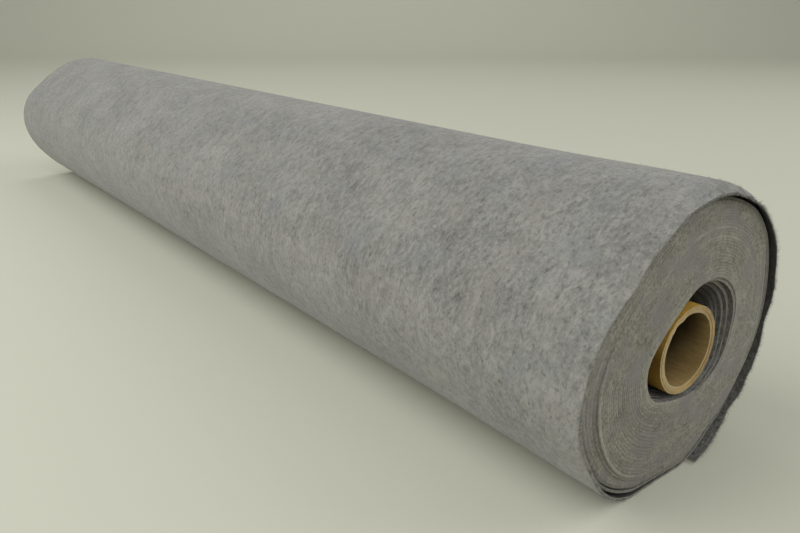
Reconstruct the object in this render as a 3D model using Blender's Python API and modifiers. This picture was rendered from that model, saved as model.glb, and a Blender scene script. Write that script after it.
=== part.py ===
# A roll of grey felt wound on a cardboard tube, lying on its side.
# Metres, +Z up. +X runs along the roll towards its open end. The origin is on the
# surface that the roll lies on, under the middle of the roll.

import math
from collections import namedtuple

import bpy
import bmesh

MM = 0.001
CLOTH_WIDTH = 1.000             # the cloth from edge to edge, so the roll's length
OPEN_END_X = 0.494              # plane of the open end
PLAIN_END_X = OPEN_END_X - CLOTH_WIDTH
AXIS_HEIGHT = 82.9 * MM         # the roll's axis over the surface, after it has sagged
FELT = 1.6 * MM                 # thickness of the cloth
GAP = 0.3 * MM                  # clearance between pieces that touch
LAYER = FELT + GAP              # how far the winding draws in along one turn
STATIONS = 96                   # steps round one turn
FREE_END = -67.5                # angle of the cloth's free end, from +Y towards +Z, degrees

TUBE_RADIUS = 24.5 * MM
TUBE_WALL = 4.1 * MM
TUBE_Y = 5.5 * MM               # the tube's centre from the roll's axis
TUBE_Z = -5.0 * MM
TUBE_OUT = 3.0 * MM             # the tube's end beyond the plane of the open end
TUBE_INSET = 2.0 * MM           # and inside the plain end

FELT_COLOUR = (0.30, 0.29, 0.29)
OUTER_TURN_COLOUR = (0.36, 0.35, 0.35)
CARDBOARD_COLOUR = (0.42, 0.27, 0.12)
FELT_ROUGHNESS = 0.95
CARDBOARD_ROUGHNESS = 0.75
SHARP_ANGLE = math.radians(35)
WELD = 1e-6
UNDERSIDE = 0.5                 # sine of the angle below which the roll may rest on the surface

# Outline of the wound roll, every 20 degrees from +Y towards +Z, in mm. radius is the
# outside of the cloth, and lean is how far the winding stands out of the open end's plane.
Outline = namedtuple("Outline", "angle radius lean")
OUTLINE = [
    Outline(0, 90.5, 0.0),
    Outline(20, 90.5, 0.0),
    Outline(40, 88.0, 0.2),
    Outline(60, 84.3, 0.8),
    Outline(80, 82.6, 1.8),
    Outline(100, 79.8, 2.8),
    Outline(120, 77.2, 3.8),
    Outline(140, 78.6, 4.6),
    Outline(160, 87.0, 5.2),
    Outline(180, 90.5, 5.0),
    Outline(200, 88.4, 3.4),
    Outline(220, 86.0, 1.6),
    Outline(240, 87.0, 0.4),
    Outline(260, 86.5, 0.0),
    Outline(280, 86.0, 0.0),
    Outline(300, 85.3, 0.0),
    Outline(320, 86.0, 0.0),
    Outline(340, 88.0, 0.0),
]

# Rim of the hollow round the tube, every 30 degrees, in mm from the tube's centre.
Hollow = namedtuple("Hollow", "angle radius")
HOLLOW = [
    Hollow(0, 38.5),
    Hollow(30, 42.7),
    Hollow(60, 40.6),
    Hollow(90, 35.2),
    Hollow(120, 29.3),
    Hollow(150, 30.7),
    Hollow(180, 36.5),
    Hollow(210, 35.2),
    Hollow(240, 28.5),
    Hollow(270, 26.9),
    Hollow(300, 29.5),
    Hollow(330, 35.0),
]

# Lip of the outermost turn, every 45 degrees along it from the free end: how far its edge
# stands out of the open end's plane, in mm.
Lip = namedtuple("Lip", "turn out")
LIP = [
    Lip(0, 4.8),
    Lip(45, 3.2),
    Lip(90, 3.4),
    Lip(135, 6.2),
    Lip(180, 9.8),
    Lip(225, 12.2),
    Lip(270, 8.0),
    Lip(315, 1.4),
    Lip(360, 0.8),
]

# Rings across an end. span is 1 at the outside of the winding, and out is measured from
# the end's plane, in mm.
Ring = namedtuple("Ring", "span out")

# The open end, down to the hollow's rim at span 0. Its outer turns are pushed in a little,
# and the turn inside them stands proud.
FACE = [
    Ring(1.00, -1.4),
    Ring(0.86, -1.0),
    Ring(0.84, 0.8),
    Ring(0.50, 2.2),
    Ring(0.00, 4.5),
]

# The turns nearest the tube step back into the roll, from the hollow's rim at span 1 down
# to the tube at span 0.
FUNNEL = [
    Ring(0.96, 1.0),
    Ring(0.72, 0.0),
    Ring(0.69, -5.0),
    Ring(0.46, -6.0),
    Ring(0.43, -12.0),
    Ring(0.22, -13.0),
    Ring(0.19, -20.0),
    Ring(0.00, -21.0),
]

# The plain end, down to the tube at span 0.
PLAIN_END = [
    Ring(0.00, -1.0),
    Ring(0.90, -0.6),
    Ring(1.00, 0.0),
]


def clear_scene():
    for thing in list(bpy.data.objects):
        bpy.data.objects.remove(thing, do_unlink=True)


def smooth_read(values, place, closed):
    # Reads a smooth curve through evenly spaced values, at a place counted in steps.
    count = len(values)
    last = count - 1 if closed else count - 2
    first = min(int(place), last)
    share = place - first
    picked = []
    for step in (-1, 0, 1, 2):
        index = (first + step) % count if closed else max(0, min(count - 1, first + step))
        picked.append(values[index])
    before, start, end, after = picked
    square = 2.0 * before - 5.0 * start + 4.0 * end - after
    cube = 3.0 * (start - end) + after - before
    return start + 0.5 * share * (end - before + share * (square + share * cube))


def read_round(rows, column, angle):
    values = [getattr(row, column) for row in rows]
    return smooth_read(values, (angle % 360.0) / 360.0 * len(rows), True) * MM


def lip_x(turn):
    values = [row.out for row in LIP]
    return OPEN_END_X + smooth_read(values, turn / 360.0 * (len(LIP) - 1), False) * MM


def turns():
    return [360.0 * step / STATIONS for step in range(STATIONS + 1)]


def outline_radius(turn, depth, drawn_in=0.0):
    # Distance from the roll's axis at a depth under the outside of the cloth. The
    # underside is pressed flat on the surface.
    angle = FREE_END + turn
    radius = read_round(OUTLINE, "radius", angle) - depth - drawn_in
    down = -math.sin(math.radians(angle))
    if down > UNDERSIDE:
        radius = min(radius, (AXIS_HEIGHT - depth) / down)
    return radius


def wound_radius(turn, depth):
    # The outermost turn draws in by one layer, so that it ends under its own free end.
    return outline_radius(turn, depth, LAYER * (turn / 360.0 - 0.5))


def polar(x, radius, turn, centre_y=0.0, centre_z=0.0):
    angle = math.radians(FREE_END + turn)
    return (x, centre_y + radius * math.cos(angle), centre_z + radius * math.sin(angle))


def mix(low, high, share):
    return tuple(a + (b - a) * share for a, b in zip(low, high))


def hollow_rim(turn):
    return polar(0.0, read_round(HOLLOW, "radius", FREE_END + turn), turn, TUBE_Y, TUBE_Z)


def tube_seat(turn):
    return polar(0.0, TUBE_RADIUS + GAP, turn, TUBE_Y, TUBE_Z)


def hollow_edge(turn, span):
    return hollow_rim(turn)


def winding_edge(turn, span):
    # Only the outermost ring shows the step at which the outer turn was split off.
    radius = wound_radius(turn, LAYER) if span == 1.0 else outline_radius(turn, LAYER)
    return polar(0.0, radius, turn)


def end_ring(row, inner, outer, plane, leans):
    points = []
    for turn in turns():
        x, y, z = mix(inner(turn), outer(turn, row.span), row.span)
        lean = read_round(OUTLINE, "lean", FREE_END + turn) * row.span if leans else 0.0
        points.append((plane + row.out * MM + lean, y, z))
    return points


def loft(name, rings, closed):
    # Skins a list of rings. A closed loft joins its last ring to its first, and an open one
    # has a cap at each end.
    mesh = bpy.data.meshes.new(name)
    work = bmesh.new()
    rows = [[work.verts.new(point) for point in ring] for ring in rings]
    pairs = list(zip(rows, rows[1:]))
    if closed:
        pairs.append((rows[-1], rows[0]))
    for lower, upper in pairs:
        count = len(lower)
        for i in range(count):
            j = (i + 1) % count
            work.faces.new((lower[i], lower[j], upper[j], upper[i]))
    if not closed:
        work.faces.new(rows[0])
        work.faces.new(rows[-1])
    bmesh.ops.remove_doubles(work, verts=work.verts, dist=WELD)
    bmesh.ops.recalc_face_normals(work, faces=work.faces)
    work.to_mesh(mesh)
    work.free()
    return mesh


def place(name, mesh, collection, colour, roughness, location):
    thing = bpy.data.objects.new(name, mesh)
    thing.location = location
    collection.objects.link(thing)
    mesh.shade_smooth()
    mesh.set_sharp_from_angle(angle=SHARP_ANGLE)
    material = bpy.data.materials.new(name + "_material")
    material.use_nodes = True
    shader = material.node_tree.nodes["Principled BSDF"]
    shader.inputs["Base Color"].default_value = (*colour, 1.0)
    shader.inputs["Roughness"].default_value = roughness
    shader.inputs["Metallic"].default_value = 0.0
    mesh.materials.append(material)
    return thing


def build_winding(collection):
    # All the turns but the outermost, as one body with a bore for the tube. Its rings run
    # in from the open end's edge, down the hollow, along the bore and out over the plain end.
    rings = [end_ring(row, hollow_rim, winding_edge, OPEN_END_X, True) for row in FACE]
    for row in FUNNEL:
        rings.append(end_ring(row, tube_seat, hollow_edge, OPEN_END_X, False))
    for row in PLAIN_END:
        inward = Ring(row.span, -row.out)
        rings.append(end_ring(inward, tube_seat, winding_edge, PLAIN_END_X, False))
    mesh = loft("felt_roll", rings, True)
    place("felt_roll", mesh, collection, FELT_COLOUR, FELT_ROUGHNESS, (0.0, 0.0, AXIS_HEIGHT))


def build_outer_turn(collection):
    # The outermost turn is a loose sheet that goes once round, from its free end to where
    # it slips under that end.
    last = 360.0 - math.degrees(GAP / outline_radius(360.0, 0.0))
    rings = []
    for turn in turns()[:-1] + [last]:
        outside = wound_radius(turn, 0.0)
        inside = wound_radius(turn, FELT)
        rings.append([
            polar(PLAIN_END_X, outside, turn),
            polar(lip_x(turn), outside, turn),
            polar(lip_x(turn), inside, turn),
            polar(PLAIN_END_X, inside, turn),
        ])
    mesh = loft("felt_outer_turn", rings, False)
    place("felt_outer_turn", mesh, collection, OUTER_TURN_COLOUR, FELT_ROUGHNESS,
          (0.0, 0.0, AXIS_HEIGHT))


def build_tube(collection):
    # A turned wall, modelled upright and laid down along +X.
    length = CLOTH_WIDTH + TUBE_OUT - TUBE_INSET
    inner = TUBE_RADIUS - TUBE_WALL
    profile = [(TUBE_RADIUS, length), (TUBE_RADIUS, 0.0), (inner, 0.0), (inner, length)]
    mesh = bpy.data.meshes.new("cardboard_tube")
    work = bmesh.new()
    corners = [work.verts.new((radius, 0.0, height)) for radius, height in profile]
    for start, end in zip(corners, corners[1:] + corners[:1]):
        work.edges.new((start, end))
    work.to_mesh(mesh)
    work.free()
    tube = place("cardboard_tube", mesh, collection, CARDBOARD_COLOUR, CARDBOARD_ROUGHNESS,
                 (PLAIN_END_X + TUBE_INSET, TUBE_Y, AXIS_HEIGHT + TUBE_Z))
    tube.rotation_euler = (0.0, math.radians(90), 0.0)
    screw = tube.modifiers.new("turned", "SCREW")
    screw.axis = "Z"
    screw.steps = STATIONS
    screw.render_steps = STATIONS
    screw.use_merge_vertices = True
    screw.merge_threshold = WELD
    screw.use_smooth_shade = True


def main():
    clear_scene()
    collection = bpy.data.collections.new("roll_of_felt")
    bpy.context.scene.collection.children.link(collection)
    build_winding(collection)
    build_outer_turn(collection)
    build_tube(collection)


main()
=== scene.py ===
import math
import random

import bmesh
import bpy
from mathutils import Matrix, Vector, noise


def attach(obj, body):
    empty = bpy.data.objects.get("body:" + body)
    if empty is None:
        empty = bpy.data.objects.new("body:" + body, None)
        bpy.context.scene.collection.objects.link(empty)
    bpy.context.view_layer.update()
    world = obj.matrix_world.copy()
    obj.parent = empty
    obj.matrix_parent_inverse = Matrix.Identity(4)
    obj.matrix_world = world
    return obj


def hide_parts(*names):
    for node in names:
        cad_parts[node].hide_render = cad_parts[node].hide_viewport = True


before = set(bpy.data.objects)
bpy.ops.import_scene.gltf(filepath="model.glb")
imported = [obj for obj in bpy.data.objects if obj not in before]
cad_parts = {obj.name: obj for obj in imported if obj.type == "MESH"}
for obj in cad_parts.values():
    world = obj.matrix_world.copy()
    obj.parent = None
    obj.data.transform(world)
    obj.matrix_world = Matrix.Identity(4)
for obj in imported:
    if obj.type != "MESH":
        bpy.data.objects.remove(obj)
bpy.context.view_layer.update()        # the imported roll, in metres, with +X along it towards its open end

mm = 0.001

# The roll's own measures, in mm and degrees. Angles go round from +Y towards +Z, from the
# roll's axis, and each list is evenly spaced round the turn. The hollow's rim is measured from
# the tube's centre.
roll = {
    "clothWidth": 1000.0,
    "openEnd": 494.0,        # plane of the open end
    "axisHeight": 82.9,
    "sagHeight": 0.17,       # the underside is pressed down to this height
    "leastGap": 0.03,        # and the cloth then lies this far clear of the surface
    "felt": 1.6,             # thickness of the cloth
    "fullWeight": 4.0,       # thickness that a vertex weight of 1 stands for
    "turns": 38,
    "freeEnd": -67.5,        # where the cloth's free end lies
    "outerTurn": 1.1,        # turns in the loose outer piece
    "tubeRadius": 24.5,
    "tubeY": 5.5,
    "tubeZ": -5.0,
    "outline": [90.5, 90.5, 88, 84.3, 82.6, 79.8, 77.2, 78.6, 87,
                90.5, 88.4, 86, 87, 86.5, 86, 85.3, 86, 88],
    "lean": [0, 0, 0.2, 0.8, 1.8, 2.8, 3.8, 4.6, 5.2, 5, 3.4, 1.6, 0.4, 0, 0, 0, 0, 0],
    "hollow": [38.5, 42.7, 40.6, 35.2, 29.3, 30.7, 36.5, 35.2, 28.5, 26.9, 29.5, 35],
}


def ease(start, end, value):
    # Goes smoothly from 0 at start to 1 at end.
    share = min(1.0, max(0.0, (value - start) / (end - start)))
    return share * share * (3.0 - 2.0 * share)


def smoothRead(values, place, closed):
    # Reads a smooth curve through evenly spaced values, at a place counted in steps.
    count = len(values)
    first = min(int(place), count - 1 if closed else count - 2)
    share = place - first
    picked = []
    for step in (-1, 0, 1, 2):
        index = (first + step) % count if closed else max(0, min(count - 1, first + step))
        picked.append(values[index])
    before, start, end, after = picked
    square = 2.0 * before - 5.0 * start + 4.0 * end - after
    cube = 3.0 * (start - end) + after - before
    return start + 0.5 * share * (end - before + share * (square + share * cube))


def readRound(values, angle):
    return smoothRead(values, (angle % 360.0) / 360.0 * len(values), True)


def readAlong(values, share):
    return smoothRead(values, min(1.0, max(0.0, share)) * (len(values) - 1), False)


def wobble(place, size, seed):
    # Smooth, repeatable unevenness along the cloth.
    return noise.noise(Vector((place, seed, 0.37 * seed))) * size


def degreesApart(angle, middle):
    return abs((angle - middle + 180.0) % 360.0 - 180.0)


def fixOrder(elements, place):
    # Sorts a bmesh's vertices, edges or faces by place, so that they come out the same each run.
    for index, element in enumerate(sorted(elements, key=place)):
        element.index = index
    elements.sort()


def finishMesh(name, work, node, materials):
    # Turns a bmesh into a finished piece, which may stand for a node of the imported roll.
    mesh = bpy.data.meshes.new(name)
    work.to_mesh(mesh)
    work.free()
    piece = bpy.data.objects.new(name, mesh)
    bpy.context.scene.collection.objects.link(piece)
    mesh.shade_smooth()
    for material in materials:
        mesh.materials.append(material)
    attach(piece, "root")
    if node:
        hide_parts(node)
    return piece


class Shader:
    # A material and the few steps that its nodes need.
    def __init__(self, name):
        self.material = bpy.data.materials.new(name)
        self.material.use_nodes = True
        self.nodes = self.material.node_tree.nodes
        self.links = self.material.node_tree.links
        self.surface = self.nodes["Principled BSDF"]

    def node(self, kind, **settings):
        made = self.nodes.new(kind)
        for key, value in settings.items():
            setattr(made, key, value)
        return made

    def feed(self, target, value):
        if isinstance(value, bpy.types.NodeSocket):
            self.links.new(value, target)
        else:
            target.default_value = value

    def grain(self, source, scale, detail=3.0, roughness=0.55):
        # Noise with its own size along each axis of the source.
        mapping = self.node("ShaderNodeMapping")
        self.feed(mapping.inputs["Vector"], source)
        self.feed(mapping.inputs["Scale"], scale)
        made = self.node("ShaderNodeTexNoise")
        self.feed(made.inputs["Vector"], mapping.outputs["Vector"])
        self.feed(made.inputs["Scale"], 1.0)
        self.feed(made.inputs["Detail"], detail)
        self.feed(made.inputs["Roughness"], roughness)
        return made.outputs["Fac"]

    def read(self, name):
        return self.node("ShaderNodeAttribute", attribute_name=name).outputs["Fac"]

    def sum(self, parts):
        # Adds up pairs of a value and its weight.
        total = None
        for value, weight in parts:
            step = self.node("ShaderNodeMath", operation="MULTIPLY_ADD")
            self.feed(step.inputs[0], value)
            self.feed(step.inputs[1], weight)
            self.feed(step.inputs[2], 0.0 if total is None else total)
            total = step.outputs["Value"]
        return total

    def spread(self, value, low, high):
        # Stretches a value so that low becomes 0 and high becomes 1.
        made = self.node("ShaderNodeMapRange", clamp=True)
        self.feed(made.inputs["Value"], value)
        self.feed(made.inputs["From Min"], low)
        self.feed(made.inputs["From Max"], high)
        return made.outputs["Result"]

    def blend(self, share, first, second):
        # Of this node's sockets, 0 is the share, 6 and 7 the two colours and 2 the result.
        made = self.node("ShaderNodeMix", data_type="RGBA")
        self.feed(made.inputs[0], share)
        self.feed(made.inputs[6], first)
        self.feed(made.inputs[7], second)
        return made.outputs[2]

    def relief(self, height, depth, strength):
        made = self.node("ShaderNodeBump")
        self.feed(made.inputs["Height"], height)
        self.feed(made.inputs["Distance"], depth)
        self.feed(made.inputs["Strength"], strength)
        self.feed(self.surface.inputs["Normal"], made.outputs["Normal"])

    def finish(self, colour, **values):
        self.feed(self.surface.inputs["Base Color"], colour)
        for name, value in values.items():
            self.surface.inputs[name.replace("_", " ")].default_value = value
        return self.material


# Felt, in linear colour. Grain sizes are in steps for each metre along and across the cloth.
felt = {
    "dark": (0.090, 0.091, 0.086, 1),
    "light": (0.283, 0.277, 0.255, 1),
    "cool": (0.198, 0.206, 0.210, 1),
    "warm": (0.250, 0.236, 0.212, 1),
    "speck": (0.075, 0.076, 0.076, 1),
    "edgeDark": (0.110, 0.106, 0.085, 1),
    "edgeLight": (0.305, 0.292, 0.238, 1),
    "edgeViolet": (0.198, 0.183, 0.175, 1),
    # the cloth's inner side: the same felt, painted darker as shade
    "inside": (0.050, 0.050, 0.046, 1),
    "insideLight": (0.255, 0.250, 0.236, 1),
    # painted shade: the colour that cut edges and the inner side are darkened towards where little light
    # reaches
    "paintedShadeColour": (0.030, 0.030, 0.026, 1),
    "mottleGrain": (250, 350, 1),
    "fibreGrain": (600, 950, 1),
    "speckGrain": (260, 420, 1),
    "blotchGrain": (95, 125, 1),
    "patchGrain": (22, 16, 1),
    "hueGrain": (34, 38, 1),
    "edgeGrain": (580, 580, 580),
    "cloudGrain": (110, 110, 110),
    "violetGrain": (60, 60, 60),
    "relief": 0.35 * mm,
}


def makeFeltCloth():
    look = Shader("feltCloth")
    cloth = look.node("ShaderNodeUVMap", uv_map="cloth").outputs["UV"]
    mottle = look.grain(cloth, felt["mottleGrain"], 3.0, 0.6)
    fibre = look.grain(cloth, felt["fibreGrain"], 4.0, 0.65)
    patch = look.grain(cloth, felt["patchGrain"], 2.0, 0.5)
    blotch = look.grain(cloth, felt["blotchGrain"], 2.0, 0.5)
    tone = look.sum([(mottle, 0.31), (fibre, 0.32), (blotch, 0.21), (patch, 0.16)])
    colour = look.blend(look.spread(tone, 0.35, 0.57), felt["dark"], felt["light"])
    hue = look.grain(cloth, felt["hueGrain"], 2.0, 0.5)
    colour = look.blend(look.spread(hue, 0.52, 1.00), colour, felt["cool"])
    colour = look.blend(look.spread(hue, 0.48, 0.00), colour, felt["warm"])
    speck = look.grain(cloth, felt["speckGrain"], 2.0, 0.5)
    colour = look.blend(look.spread(speck, 0.57, 0.84), colour, felt["speck"])
    look.relief(look.sum([(fibre, 0.6), (mottle, 0.4)]), felt["relief"], 0.5)
    return look.finish(colour, Roughness=0.95, Specular_IOR_Level=0.15,
                       Sheen_Weight=0.2, Sheen_Roughness=0.5)


def makeFeltEdge():
    # The cut edges of the turns, which show as the rings of the roll's ends. Their tone attribute holds
    # both their own paleness and painted shade.
    look = Shader("feltCutEdge")
    place = look.node("ShaderNodeTexCoord").outputs["Object"]
    tuft = look.grain(place, felt["edgeGrain"], 2.0, 0.6)
    cloud = look.grain(place, felt["cloudGrain"], 2.0)
    mixed = look.sum([(tuft, 0.62), (cloud, 0.28), (look.read("edgeToneAndShade"), 0.10)])
    colour = look.blend(look.spread(mixed, 0.34, 0.66), felt["edgeDark"], felt["edgeLight"])
    violet = look.grain(place, felt["violetGrain"], 2.0)
    colour = look.blend(look.spread(violet, 0.46, 0.72), colour, felt["edgeViolet"])
    # painted shade: where the tone attribute falls below 0, the edge is darkened towards the painted shade
    # colour
    colour = look.blend(look.spread(look.read("edgeToneAndShade"), 0.0, -1.5), colour, felt["paintedShadeColour"])
    look.relief(tuft, felt["relief"], 0.5)
    return look.finish(colour, Roughness=0.97, Specular_IOR_Level=0.12,
                       Sheen_Weight=0.15, Sheen_Roughness=0.5)


def makeFeltInside():
    # The side of the cloth that faces the tube, seen inside the lip and the hollow: the felt painted darker
    # as shade, with deeper painted shade from a vertex attribute.
    look = Shader("feltInside")
    cloth = look.node("ShaderNodeUVMap", uv_map="cloth").outputs["UV"]
    fibre = look.grain(cloth, felt["fibreGrain"], 4.0, 0.65)
    mottle = look.grain(cloth, felt["mottleGrain"], 3.0, 0.6)
    tone = look.sum([(fibre, 0.55), (mottle, 0.45)])
    colour = look.blend(look.spread(tone, 0.36, 0.64), felt["inside"], felt["insideLight"])
    colour = look.blend(look.read("paintedShade"), colour, felt["paintedShadeColour"])
    look.relief(fibre, felt["relief"], 0.5)
    return look.finish(colour, Roughness=0.97, Specular_IOR_Level=0.12)


feltCloth = makeFeltCloth()
feltEdge = makeFeltEdge()
feltInside = makeFeltInside()
feltLooks = [feltInside, feltEdge, feltCloth]
print("felt materials ready")

# How the wound turns lie at the open end, in mm.
winding = {
    "stepsRound": 112,
    "rows": [0.0, 6.0, 16.0, 34.0, 80.0, 940.0, 992.0, 1000.0],   # from the open end's edge
    "packing": 0.995,         # the cloth's thickness as a share of the turns' spacing
    "edgeReach": 120.0,       # how far in from an end its unevenness reaches
    "tubeGap": 0.1,           # between the tube and the cloth on it
    "rimGap": 0.4,            # from the hollow's rim to the middle of the cloth there
    "hollowTurns": 8,         # turns next to the tube that step back into the roll
    "hollowDepth": 42.0,      # how far in the turns lie evenly again
    "slackDepth": 70.0,       # how far in from the open end the outer turns are slack
    "slackEdge": 5.0,         # and how far in they are as slack as they get
    # every 15 degrees: the gap under the outermost turn
    "slack": [3.0, 3.5, 3.6, 4.8, 5.8, 6.2, 4.9, 2.8, 1.1, 0.3, 0, 0, 0, 0, 0.1, 0.6, 1.6, 1.3,
              0.5, 0.5, 2.6, 2.5, 3.0, 2.5],
    # every 15 degrees: how far the roll spreads towards its open end
    "flare": [0.5, 1.2, 2.9, 3.6, 2.8, 1.6, 0.6, 0.1, 0, 0, 0, 0, 0, 0, 0.3, 1.0, 1.1, 0.5,
              0, 0, 0, 0, 0, 0.3],
    "flareDepth": 130.0,      # how far in the roll stops spreading
    # gaps further in: turn, middle in degrees, half its reach in degrees, mm
    "gaps": [(2, 248, 34, 1.5), (2, 5, 34, 0.9), (3, 345, 14, 0.5), (4, 12, 26, 0.8)],
    # how far the face stands out, from the hollow's rim to the outside
    "cone": [4.5, 3.4, 2.2, 1.4, 0.7],
    "ringTurn": 7,            # the turn whose edge stands proud as a pale ring
    "ringBlur": 1.5,          # turns to either side over which their spacing changes
    # every 30 degrees: where that ring lies, from 0 at the hollow's rim to 1 outside, how far
    # the turns outside it lie back, and how far its own edge stands out
    "ringSpan": [0.86, 0.86, 0.86, 0.8, 0.7, 0.62, 0.64, 0.71, 0.82, 0.83, 0.84, 0.86],
    "bandDepth": [0.5, 0.4, 0.2, 0.1, 0.05, 0.1, 0.4, 0.8, 0.8, 0.8, 0.8, 0.6],
    "ringOut": [0, 0, 0, 0.05, 0, 0.1, 0.4, 0.6, 0.45, 0.3, 0.1, 0],
    # every 30 degrees: how much painted shade darkens the turns' edges under the lip
    "paintedShadeUnderLip": [0, 0.1, 0.9, 1.7, 1.4, 1.1, 0.8, 1.0, 0.7, 0.3, 0.1, 0],
    # pale turns: turn, middle in degrees, half its reach in degrees, how pale
    "paleTurns": [(13, 80, 75, 1.6), (16, 50, 60, 0.9), (10, 20, 50, 0.8), (4, 350, 50, 1.2)],
    # how far the hollow's turns stand out, from its rim to the tube, turn by turn
    "stepsBack": [4.5, 1.9, 0.3, -1.5, -3.0, -5.4, -11.0, -21.0, -30.0],
    # every 30 degrees: how deep the hollow is beside those steps, and how deep the painted shade on them is
    "hollowReach": [1.0, 1.1, 1.3, 1.3, 1.2, 1.2, 1.4, 1.8, 1.4, 0.6, 0.45, 0.7],
    "hollowShade": [0.45, 0.7, 0.95, 1.0, 1.0, 1.0, 0.9, 0.8, 0.7, 0.45, 0.2, 0.25],
    "unevenness": 0.04,       # of the turns' edges
    "edgeRounding": 0.04,
}


def under(turn, turnsIn):
    # 0 outside a turn's start and 1 below it.
    return ease(turn - 0.07, turn + 0.03, turnsIn)


def sectionPoints(angle, fromEnd, turnsIn):
    # In mm from the roll's axis: where the outermost turn, the hollow's rim and the turn on
    # the tube lie in one direction.
    across, up = math.cos(math.radians(angle)), math.sin(math.radians(angle))
    radius = readRound(roll["outline"], angle) - roll["felt"] / 2
    radius += readRound(winding["flare"], angle) * ease(winding["flareDepth"], 0.0, fromEnd)
    if up < -0.5:             # sagged flat underneath
        radius = min(radius, (roll["axisHeight"] - roll["sagHeight"]) / -up)
    loose = readRound(winding["slack"], angle) * under(1, turnsIn)
    for turn, middle, reach, gap in winding["gaps"]:
        away = degreesApart(angle, middle)
        loose += gap * ease(reach, 0.0, away) * under(turn, turnsIn)
    radius -= loose * ease(winding["slackDepth"], winding["slackEdge"], fromEnd)
    seat = roll["tubeRadius"] + roll["felt"] / 2 + winding["tubeGap"]
    rim = readRound(roll["hollow"], angle) + winding["rimGap"]
    towards = Vector((across, up))
    tubeCentre = Vector((roll["tubeY"], roll["tubeZ"]))
    return towards * radius, tubeCentre + towards * rim, tubeCentre + towards * seat


def clothAt(turnsIn, fromEnd):
    # The middle of the cloth at a depth from the open end's plane, and the turns' spacing.
    angle = roll["freeEnd"] + 360.0 * turnsIn
    outer, rim, inner = sectionPoints(angle, fromEnd, turnsIn)
    count = roll["turns"] - 0.5
    rimCount = count - winding["hollowTurns"]
    turn = turnsIn - 0.5
    even = outer.lerp(inner, turn / count)
    if turn < rimCount:
        ring, blur = winding["ringTurn"], winding["ringBlur"]
        band = 1.0 - readRound(winding["ringSpan"], angle)
        pace, change = band / ring, (1.0 - band) / (rimCount - ring) - band / ring
        past = turn - ring
        share = min(1.0, max(0.0, (past + blur) / (2.0 * blur)))
        gone = past if past > blur else share * share * blur      # turns past the ring, blurred
        opened = outer.lerp(rim, turn * pace + gone * change)
        step = (rim - outer).length * (pace + share * change)
    else:
        opened = rim.lerp(inner, (turn - rimCount) / winding["hollowTurns"])
        step = (inner - rim).length / winding["hollowTurns"]
    opening = ease(winding["hollowDepth"], 0.0, fromEnd)
    spacing = (outer - inner).length / count * (1.0 - opening) + step * opening
    return even.lerp(opened, opening), spacing


def faceOut(turnsIn):
    # How far a turn's edge stands out of the open end's plane, how pale that edge is (with painted shade in
    # the hollow and under the lip) and how deep the painted shade on its inner side is.
    angle = roll["freeEnd"] + 360.0 * turnsIn
    rimTurn = roll["turns"] - winding["hollowTurns"]
    own = (wobble(turnsIn * 1.9, winding["unevenness"], 3.1)
           + wobble(turnsIn * 9.0, 0.12, 5.3))
    tone = 0.5 + wobble(turnsIn * 1.3, 0.5, 8.8) + wobble(turnsIn * 7.0, 0.2, 9.4)
    if turnsIn > rimTurn:
        past = turnsIn - rimTurn
        out = readAlong(winding["stepsBack"], past / winding["hollowTurns"])
        rimOut = winding["stepsBack"][0]
        out = rimOut + (out - rimOut) * readRound(winding["hollowReach"], angle)
        deep = ease(0.0, 5.0, past)
        # painted shade: the hollow's turns get darker edges and inner sides the deeper they lie
        dim = readRound(winding["hollowShade"], angle)
        out += wobble(turnsIn * 4.3, 1.3, 6.1) * ease(0.0, 1.5, past)
        tone += wobble(turnsIn * 21.0, 0.9, 2.7) * deep
        return out + own * (1.0 + past), tone + 0.3 - 3.2 * deep * dim, dim * (0.7 + 0.28 * deep)
    share = 1.0 - (turnsIn - 0.5) / (rimTurn - 0.5)
    ring = winding["ringTurn"]
    out = readAlong(winding["cone"], share) + readRound(roll["lean"], angle) * share
    out -= readRound(winding["bandDepth"], angle) * ease(ring, ring - 0.5, turnsIn)
    proud = readRound(winding["ringOut"], angle) * ease(0.75, 0.25, abs(turnsIn - ring - 0.5))
    # painted shade on the outer turns' edges under the lip
    tone -= readRound(winding["paintedShadeUnderLip"], angle) * ease(4.5, 2.0, turnsIn)
    tone += 0.7 * ease(rimTurn - 5.0, rimTurn, turnsIn)
    for turn, middle, reach, pale in winding["paleTurns"]:
        away = degreesApart(angle, middle)
        tone += pale * ease(reach, 0.0, away) * ease(0.8, 0.3, abs(turnsIn - turn - 0.5))
    return out + proud + own, tone + 2.4 * proud, 0.0


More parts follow.
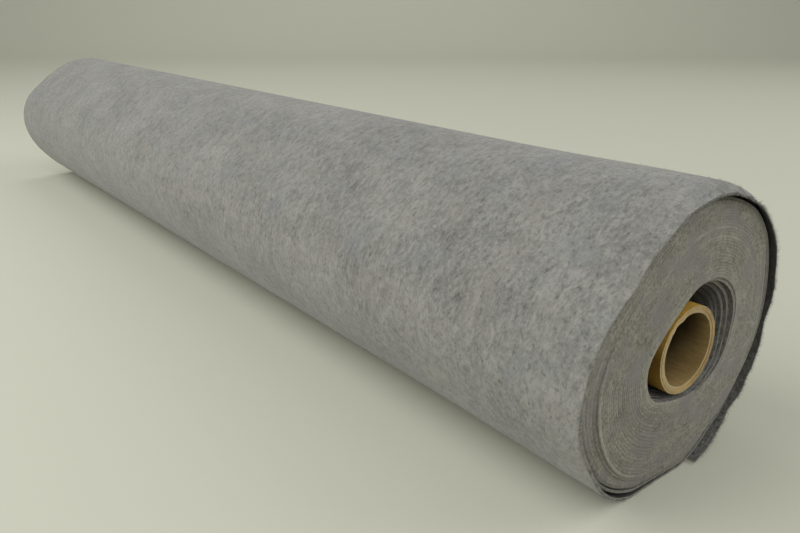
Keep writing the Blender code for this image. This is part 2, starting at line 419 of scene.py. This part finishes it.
def windSheet(firstTurn, lastTurn, stepsRound, rows, edgeAt, farEdge, lift):
    # Winds a flat grid of cloth on to the roll, from its outer end at firstTurn inwards. Its
    # length is measured halfway along the roll.
    halfWay = roll["clothWidth"] / 2
    steps = round((lastTurn - firstTurn) * stepsRound)
    stations = [firstTurn + (lastTurn - firstTurn) * step / steps for step in range(steps + 1)]
    along = [0.0]
    for before, after in zip(stations, stations[1:]):
        along.append(along[-1] + (clothAt(after, halfWay)[0] - clothAt(before, halfWay)[0]).length)
    work = bmesh.new()
    bmesh.ops.create_grid(work, x_segments=steps, y_segments=len(rows) - 1, size=0.5)
    uvLayer = work.loops.layers.uv.verify()
    toneLayer = work.verts.layers.float.new("edgeToneAndShade")
    shadeLayer = work.verts.layers.float.new("paintedShade")
    groups = work.verts.layers.deform.verify()
    edges = [edgeAt(turn) for turn in stations]
    cut = {}
    for vert in work.verts:
        step = round((vert.co.x + 0.5) * steps)
        row = round((vert.co.y + 0.5) * (len(rows) - 1))
        turn = stations[step]
        out, tone, paintedShade = edges[step]
        fromEdge = rows[row]
        near = ease(winding["edgeReach"], 0.0, fromEdge)
        far = ease(roll["clothWidth"] - winding["edgeReach"], roll["clothWidth"], fromEdge)
        x = roll["openEnd"] - fromEdge + out * near + farEdge(turn) * far
        place, spacing = clothAt(turn, roll["openEnd"] - x)
        place += place.normalized() * lift(turn, fromEdge)
        height = max(place.y + roll["axisHeight"], roll["felt"] / 2 + roll["leastGap"])
        vert.co = Vector((x, place.x, height)) * mm
        if fromEdge > halfWay:      # the plain end's turns lie flush, in no shade
            tone = 0.5 + wobble(turn * 1.3, 0.6, 8.8) + wobble(turn * 7.0, 0.3, 9.4)
            paintedShade = 0.0
        # the edge's tone, with painted shade where it falls below 0, and the painted shade of the cloth's
        # inner side
        vert[toneLayer] = tone
        vert[shadeLayer] = paintedShade
        vert[groups][0] = min(1.0, spacing * winding["packing"] / roll["fullWeight"])
        cut[vert] = (along[step] * mm, fromEdge * mm)
    for face in work.faces:
        for loop in face.loops:
            loop[uvLayer].uv = cut[loop.vert]
    return work, along[-1] * mm


def giveThickness(piece, rounding, segments):
    # The vertex weights hold the thickness: the turns are pressed thinner where they lie closer.
    piece.data.uv_layers[0].name = "cloth"
    piece.vertex_groups.new(name="thickness")
    wall = piece.modifiers.new("thickness", "SOLIDIFY")
    wall.thickness = roll["fullWeight"] * mm
    wall.offset = 0.0
    wall.vertex_group = "thickness"
    wall.use_even_offset = False
    wall.material_offset = 2
    wall.material_offset_rim = 1
    soft = piece.modifiers.new("softEdge", "BEVEL")
    soft.width = rounding * mm
    soft.segments = segments
    soft.limit_method = "ANGLE"
    soft.angle_limit = math.radians(50)


def plainEdge(turnsIn):
    # How far the cloth's edge stands out of line at the plain end.
    return wobble(turnsIn * 2.9, 0.6, 14.2) + wobble(turnsIn * 19.0, 0.2, 17.9)


work, windingLength = windSheet(roll["outerTurn"], roll["turns"], winding["stepsRound"],
                                winding["rows"], faceOut, plainEdge, lambda turn, fromEdge: 0.0)
feltWinding = finishMesh("felt_winding", work, "felt_roll", feltLooks)
giveThickness(feltWinding, winding["edgeRounding"], 1)
print("winding: %.2f m of cloth" % windingLength)

# The outermost turn. Its edge stands out round the open end as a lip, in mm.
outerTurn = {
    "stepsRound": 420,
    # from the free end, round one turn in even steps: how far the edge stands out
    "lip": [4.9, 4.8, 4.2, 3.0, 4.0, 3.5, 3.4, 2.9, 1.6, 3.0, 3.3, 3.3, 3.6, 4.0, 4.3, 4.8,
            5.3, 5.8, 6.3, 6.9, 7.6, 8.3, 9.0, 9.6, 10.2, 10.9, 11.5, 12.0, 12.3, 12.4, 12.2,
            11.8, 11.3, 10.6, 9.6, 8.8, 7.9, 6.9, 5.8, 4.7, 3.6, 2.4, 1.5, 0.9, 0.7, 0.7, 0.8,
            0.8, 0.8],
    # every 15 degrees: how far the lip's edge turns in
    "curl": [0.6, 1.2, 3.0, 4.8, 5.2, 4.7, 3.9, 2.2, 0.7, 0.4, 0.8, 0.9, 1.0, 0.2, 0.3, 0.4,
             0, 0, 0, 0, 0, 0, 0, 0.1],
    "curlReach": 9.0,         # how far from the edge the curl begins
    # every 30 degrees: how deep the painted shade on the lip's inner side and on its edge is
    "paintedShade": [0.72, 0.74, 0.75, 0.7, 0.1, 0, 0, 0.2, 0.85, 0.5, 0.05, 0.38],
    "edgeShade": [0.62, 0.5, 0.38, 0.45, 0, 0, 0, 0, 0, 0.3, 0.28, 0.5],
    "start": -0.011,          # the free end reaches a little past its place in the winding
    "rows": [0, 0.8, 2, 4, 7, 11, 16, 22, 30, 40, 52, 66, 82, 100] + [
        100 + 40 * step for step in range(1, 22)] + [965, 980, 990, 996, 999, 1000],
    "ragged": 0.45,
    "edgeRounding": 0.3,
}


def lipOut(turnsIn):
    # What faceOut gives, for the lip. Under the free end the edge goes back to the face.
    out = readAlong(outerTurn["lip"], turnsIn)
    ragged = (wobble(turnsIn * 30.0, outerTurn["ragged"], 2.2)
              + wobble(turnsIn * 90.0, outerTurn["ragged"] * 0.6, 4.4))
    tucked = ease(1.0, roll["outerTurn"], turnsIn)
    inside = faceOut(roll["outerTurn"])[0]
    angle = roll["freeEnd"] + 360.0 * turnsIn
    # painted shade on the lip's inner side and on its edge, mostly towards +Y, along the top and low down
    # towards -Y
    paintedShade = readRound(outerTurn["paintedShade"], angle) * ease(1.0, 0.97, turnsIn)
    tone = 1.5 - 3.0 * readRound(outerTurn["edgeShade"], angle) * ease(1.0, 0.97, turnsIn)
    return (out + ragged) * (1.0 - tucked) + inside * tucked, tone, paintedShade


def lipLift(turnsIn, fromEdge):
    # The lip curls inwards along the top, and its edge is a little wavy.
    angle = roll["freeEnd"] + 360.0 * turnsIn
    atEdge = ease(outerTurn["curlReach"], 0.0, fromEdge)
    waves = wobble(turnsIn * 26.0, 0.7, 6.6) + wobble(turnsIn * 70.0, 0.3, 7.7)
    loose = ease(roll["outerTurn"], 0.95, turnsIn)
    return atEdge * loose * (waves - readRound(outerTurn["curl"], angle))


work, outerLength = windSheet(outerTurn["start"], roll["outerTurn"], outerTurn["stepsRound"],
                              outerTurn["rows"], lipOut, plainEdge, lipLift)
feltOuterTurn = finishMesh("felt_outer_wrap", work, "felt_outer_turn", feltLooks)
giveThickness(feltOuterTurn, outerTurn["edgeRounding"], 2)
print("outer turn: %.2f m of cloth" % outerLength)

# Loose fibres that stand off the felt, lengths and widths in mm.
fibres = {
    "atLip": 4200,
    "onCloth": 3000,
    "length": (0.7, 2.6),
    "width": 0.12,
    "rootDepth": 0.15,        # how deep a fibre is rooted
    "surface": 0.72,          # from the middle of the cloth to a root on its outside
    "farMargin": 5.0,         # kept free at the plain end
    "floorGap": 0.3,          # none reaches lower than this
    "toneGrain": (300, 300, 300),
    "bunch": 60,              # fibres made at a time
    "seed": 11,
}


def outerCloth(turnsIn, fromEdge):
    # A place in the middle of the outer turn's cloth, and the direction outwards there.
    out = lipOut(turnsIn)[0] * ease(winding["edgeReach"], 0.0, fromEdge)
    place, spacing = clothAt(turnsIn, fromEdge - out)
    away = place.normalized()
    place += away * lipLift(turnsIn, fromEdge)
    return (Vector((roll["openEnd"] - fromEdge + out, place.x, place.y + roll["axisHeight"])),
            Vector((0.0, away.x, away.y)))


def growFibre(work, draw, atLip):
    lengthwise = Vector((1.0, 0.0, 0.0))
    turnsIn = draw.uniform(0.0, 0.92)
    reach = roll["clothWidth"] - fibres["farMargin"]
    fromEdge = draw.uniform(0.0, 0.6) if atLip else reach * draw.random() ** 1.7
    root, outward = outerCloth(turnsIn, fromEdge)
    root += outward * (draw.uniform(-0.6, 0.75) if atLip else fibres["surface"])
    if atLip:
        lean = lengthwise * draw.uniform(0.3, 1.0) + outward * draw.uniform(-0.6, 0.9)
    else:
        lean = outward * draw.uniform(0.15, 0.6) + lengthwise * draw.uniform(-0.7, 0.7)
    lean += lengthwise.cross(outward) * draw.uniform(-0.9, 0.9)
    lean.normalize()
    length = draw.uniform(*fibres["length"])
    if min(root.z, (root + lean * length).z) < fibres["floorGap"]:
        return                # none is pressed into what the roll lies on
    middle = Matrix.Translation((root + lean * (length / 2.0 - fibres["rootDepth"])) * mm)
    bmesh.ops.create_cone(work, cap_ends=True, segments=3, radius1=fibres["width"] / 2.0 * mm,
                          radius2=fibres["width"] / 5.0 * mm, depth=length * mm,
                          matrix=middle @ lean.to_track_quat("Z", "Y").to_matrix().to_4x4())


def growFibres():
    draw = random.Random(fibres["seed"])
    work = bmesh.new()
    bunch = bmesh.new()
    passing = bpy.data.meshes.new("bunch")
    count = fibres["atLip"] + fibres["onCloth"]
    for index in range(count):
        growFibre(bunch, draw, index < fibres["atLip"])
        if index % fibres["bunch"] == fibres["bunch"] - 1 or index == count - 1:
            bunch.to_mesh(passing)
            work.from_mesh(passing)
            bunch.clear()
    bunch.free()
    bpy.data.meshes.remove(passing)
    return work


def makeFibreLook():
    look = Shader("looseFibre")
    place = look.node("ShaderNodeTexCoord").outputs["Object"]
    tone = look.spread(look.grain(place, fibres["toneGrain"], 1.0), 0.35, 0.65)
    return look.finish(look.blend(tone, felt["dark"], felt["light"]), Roughness=0.9)


looseFibres = finishMesh("loose_fibres", growFibres(), None, [makeFibreLook()])
print("loose fibres ready")

# The cardboard tube, in mm.
tube = {
    "wall": 4.1,
    "out": 3.0,               # beyond the plane of the open end
    "inset": 2.0,             # inside the plain end
    "plies": 6,
    "plyStep": [0.12, 0.0, 0.1, -0.35, -0.25, -0.4],   # how far each ply's end stands out
    "groove": 0.3,            # depth between two plies
    "plyTop": 0.06,           # from a ply's outer and inner side to its flat end
    "plyFoot": 0.10,
    "grooveFoot": 0.02,
    "plainMargin": 6.0,       # from the plain end to the first even ring of the wall
    "endReach": 14.0,         # how far in from the open end the wall is dented
    "bump": 0.35,
    "chip": 0.22,
    "innerSkin": 0.5,         # how far out from the bore the inside's look and shade reach
    "blotchGrain": (60, 60, 60),
    "relief": 0.12 * mm,
    # on the inner edge: middle in degrees, half its reach in degrees, how far out in mm
    "dents": [(0, 75, 0.5), (128, 12, 0.5), (112, 10, -0.5), (31, 5, 0.5), (180, 90, -0.7)],
    # every 30 degrees: how deep the painted shade on the wall's inner and outer sides is
    "insideShade": [0.62, 0.85, 1.0, 1.0, 1.0, 0.8, 0.5, 0.2, 0, 0, 0.1, 0.35],
    "outsideShade": [0.45, 0.3, 0, 0, 0, 0.35, 0.82, 0.55, 0.15, 0.15, 0.3, 0.45],
    "stepsRound": 128,
}


def makeCardboard(name, dark, light, linesAcross, paintedShadeColour=None):
    look = Shader(name)
    place = look.node("ShaderNodeTexCoord").outputs["Object"]
    blotch = look.grain(place, tube["blotchGrain"], 3.0)
    pulp = look.grain(place, linesAcross, 4.0, 0.6)
    tone = look.sum([(blotch, 0.5), (pulp, 0.5)])
    look.relief(pulp, tube["relief"], 0.4)
    colour = look.blend(look.spread(tone, 0.35, 0.65), dark, light)
    # painted shade: the colour is darkened towards the painted shade colour by the vertex attribute
    if paintedShadeColour:
        colour = look.blend(look.read("paintedShade"), colour, paintedShadeColour)
    return look.finish(colour, Roughness=0.7, Specular_IOR_Level=0.25)


# for the outside and the inside, the last colour is the painted shade colour
kraft = makeCardboard("kraftOutside", (0.35, 0.190, 0.024, 1), (0.64, 0.385, 0.064, 1),
                      (220, 900, 900), (0.09, 0.044, 0.006, 1))
kraftCut = makeCardboard("kraftCutEnd", (0.33, 0.24, 0.115, 1), (0.48, 0.375, 0.205, 1),
                         (900, 500, 500))
kraftInside = makeCardboard("kraftInside", (0.24, 0.158, 0.054, 1), (0.40, 0.277, 0.114, 1),
                            (150, 700, 700), (0.034, 0.021, 0.006, 1))


def buildTube():
    # A profile of the wall, spun round the tube's own axis.
    low = roll["openEnd"] - roll["clothWidth"] + tube["inset"]
    high = roll["openEnd"] + tube["out"]
    outside, inside = roll["tubeRadius"], roll["tubeRadius"] - tube["wall"]
    ply = tube["wall"] / tube["plies"]
    plyTop, plyFoot = tube["plyTop"], tube["plyFoot"]
    innerSide = inside + tube["innerSkin"]
    plainRing = low + tube["plainMargin"]
    profile = []
    for x in (plainRing, (low + high) / 2, high - 40.0, high - 10.0, high - 2.0):
        profile.append((x, outside))
    for step, out in enumerate(tube["plyStep"]):
        top = outside - ply * step
        profile.append((high + out, top - plyTop))
        profile.append((high + out, top - ply + plyFoot))
        if step < tube["plies"] - 1:
            profile.append((high - tube["groove"], top - ply + tube["grooveFoot"]))
    for x in (high - 1.5, high - 5.0, high - 9.0, high - 14.0, high - 20.0, high - 40.0,
              (low + high) / 2, plainRing):
        profile.append((x, inside))
    for step, out in reversed(list(enumerate(tube["plyStep"]))):
        top = outside - ply * step
        profile.append((low + out, top - ply + plyFoot))
        profile.append((low + out, top - plyTop))
    work = bmesh.new()
    verts = [work.verts.new((x * mm, (roll["tubeY"] + radius) * mm,
                             (roll["axisHeight"] + roll["tubeZ"]) * mm)) for x, radius in profile]
    for start, end in zip(verts, verts[1:] + verts[:1]):
        work.edges.new((start, end))
    centre = Vector((0.0, roll["tubeY"], roll["axisHeight"] + roll["tubeZ"])) * mm
    bmesh.ops.spin(work, geom=work.verts[:] + work.edges[:], cent=centre, axis=(1, 0, 0),
                   angle=math.tau, steps=tube["stepsRound"], use_merge=True)
    bmesh.ops.remove_doubles(work, verts=work.verts, dist=0.002 * mm)
    bmesh.ops.recalc_face_normals(work, faces=work.faces)
    fixOrder(work.verts, lambda vert: tuple(vert.co))        # the spin leaves them in any order
    fixOrder(work.edges, lambda edge: tuple(edge.verts[0].co + edge.verts[1].co))
    fixOrder(work.faces, lambda face: tuple(face.calc_center_median()))
    for face in work.faces:
        away = face.calc_center_median() - centre
        radius = math.hypot(away.y, away.z) / mm
        if abs(face.normal.x) > 0.3:
            face.material_index = 1
        elif radius < innerSide:
            face.material_index = 2
    shadeLayer = work.verts.layers.float.new("paintedShade")
    for vert in work.verts:
        away = vert.co - centre
        angle = math.atan2(away.z, away.y)
        radius = math.hypot(away.y, away.z) / mm
        turnPlace = Vector((math.cos(angle), math.sin(angle), 0.0))
        fromEnd = high - vert.co.x / mm
        endShare = ease(tube["endReach"], 0.0, fromEnd)
        bump = noise.noise(turnPlace * 2.1 + Vector((0, 0, 4.0))) * tube["bump"]
        chip = noise.noise(turnPlace * 9.0 + Vector((0, 0, 9.0))) * tube["chip"]
        inner = ease(outside - 1.0, inside, radius)
        for middle, reach, dent in tube["dents"]:
            apart = degreesApart(math.degrees(angle), middle)
            bump += dent * ease(reach, 0.0, apart) * inner
        vert.co += Vector((0.0, away.y, away.z)).normalized() * (bump * endShare * mm)
        vert.co.x += chip * ease(1.0, 0.0, fromEnd) * mm
        # painted shade inside the tube: darker towards the top and deeper in
        if radius < innerSide:
            upward = math.degrees(angle) % 360.0
            vert[shadeLayer] = min(1.0, readRound(tube["insideShade"], upward)
                                   * ease(-6.0, 10.0, fromEnd) + 0.65 * ease(4.0, 24.0, fromEnd))
        else:
            # painted shade on the outside, darkest on the side towards -Y and least on top
            vert[shadeLayer] = readRound(tube["outsideShade"], math.degrees(angle))
    return work


core = finishMesh("cardboard_core", buildTube(), "cardboard_tube",
                  [kraft, kraftCut, kraftInside])
core.data.set_sharp_from_angle(angle=math.radians(40))
print("tube ready")

# The room, in metres: a pale floor that sweeps up behind the roll, soft lamps and the camera.
room = {
    "floor": (0.60, 0.60, 0.50, 1),
    "floorSize": 9.0,         # to either side of the roll
    "nearEdge": -7.0,         # along the camera's direction, as the next two are
    "floorLength": 13.5,      # with the part that rises
    "sweepStart": 2.6,
    "sweepRadius": 1.4,
    "sky": (0.93, 0.95, 0.90, 1),
    "skyStrength": 0.318,
    # name, place, the point that the lamp is turned to, size, watts
    "lamps": [("topLeftLight", (-0.3, -1.1, 1.45), (0.0, 0.0, 0.05), 1.6, 15.5),
              ("frontLight", (2.3, -1.4, 1.8), (0.0, 0.0, 0.05), 2.4, 24.5),
              ("backLight", (1.6, 2.0, 1.6), (0.0, 0.0, 0.05), 2.4, 27.0),
              ("leftLight", (-0.3, -2.6, 0.9), (0.0, 0.0, 0.05), 2.0, 19.0),
              ("wallLight", (-1.3, 0.7, 2.6), (-3.1, 1.9, 0.2), 1.6, 17.0)],
    "cameraPlace": (0.68035, -0.32629, 0.25037),
    "cameraYaw": 142.133,
    "cameraPitch": -19.924,
    "lens": 33.525,
}


def buildRoom():
    yaw = math.radians(room["cameraYaw"])
    forward = Vector((math.cos(yaw), math.sin(yaw), 0.0))
    side = Vector((-forward.y, forward.x, 0.0))
    work = bmesh.new()
    bmesh.ops.create_grid(work, x_segments=90, y_segments=2, size=0.5)
    for vert in work.verts:
        ahead = room["nearEdge"] + (vert.co.x + 0.5) * room["floorLength"]
        sideways = vert.co.y * 2.0 * room["floorSize"]
        height = 0.0
        past = ahead - room["sweepStart"]
        if past > 0.0:
            bend = min(past / room["sweepRadius"], math.pi / 2)
            rest = past - bend * room["sweepRadius"]
            ahead = room["sweepStart"] + room["sweepRadius"] * math.sin(bend)
            height = room["sweepRadius"] * (1.0 - math.cos(bend)) + rest
        vert.co = forward * ahead + side * sideways + Vector((0.0, 0.0, height))
    mesh = bpy.data.meshes.new("floor")
    bmesh.ops.recalc_face_normals(work, faces=work.faces)
    work.to_mesh(mesh)
    work.free()
    floor = bpy.data.objects.new("floor", mesh)
    bpy.context.scene.collection.objects.link(floor)
    mesh.shade_smooth()
    look = Shader("paleFloor")
    mesh.materials.append(look.finish(room["floor"], Roughness=0.8, Specular_IOR_Level=0.2))

    world = bpy.data.worlds.new("softRoom")
    bpy.context.scene.world = world
    world.use_nodes = True
    backdrop = world.node_tree.nodes["Background"]
    backdrop.inputs["Color"].default_value = room["sky"]
    backdrop.inputs["Strength"].default_value = room["skyStrength"]

    for name, place, target, size, watts in room["lamps"]:
        lamp = bpy.data.lights.new(name, "AREA")
        lamp.shape = "DISK"
        lamp.size = size
        lamp.energy = watts
        lampObject = bpy.data.objects.new(name, lamp)
        lampObject.location = place
        aim = Vector(target) - Vector(place)
        lampObject.rotation_euler = aim.to_track_quat("-Z", "Y").to_euler()
        bpy.context.scene.collection.objects.link(lampObject)

    pitch = math.radians(room["cameraPitch"])
    direction = Vector((math.cos(pitch) * math.cos(yaw), math.cos(pitch) * math.sin(yaw),
                        math.sin(pitch)))
    camera = bpy.data.cameras.new("camera")
    camera.lens = room["lens"]
    camera.sensor_width = 36.0
    camera.clip_start = 0.01
    cameraObject = bpy.data.objects.new("camera", camera)
    cameraObject.location = room["cameraPlace"]
    cameraObject.rotation_euler = direction.to_track_quat("-Z", "Y").to_euler()
    bpy.context.scene.collection.objects.link(cameraObject)
    bpy.context.scene.camera = cameraObject


buildRoom()
bpy.context.scene.view_settings.view_transform = "Standard"
print("room ready")
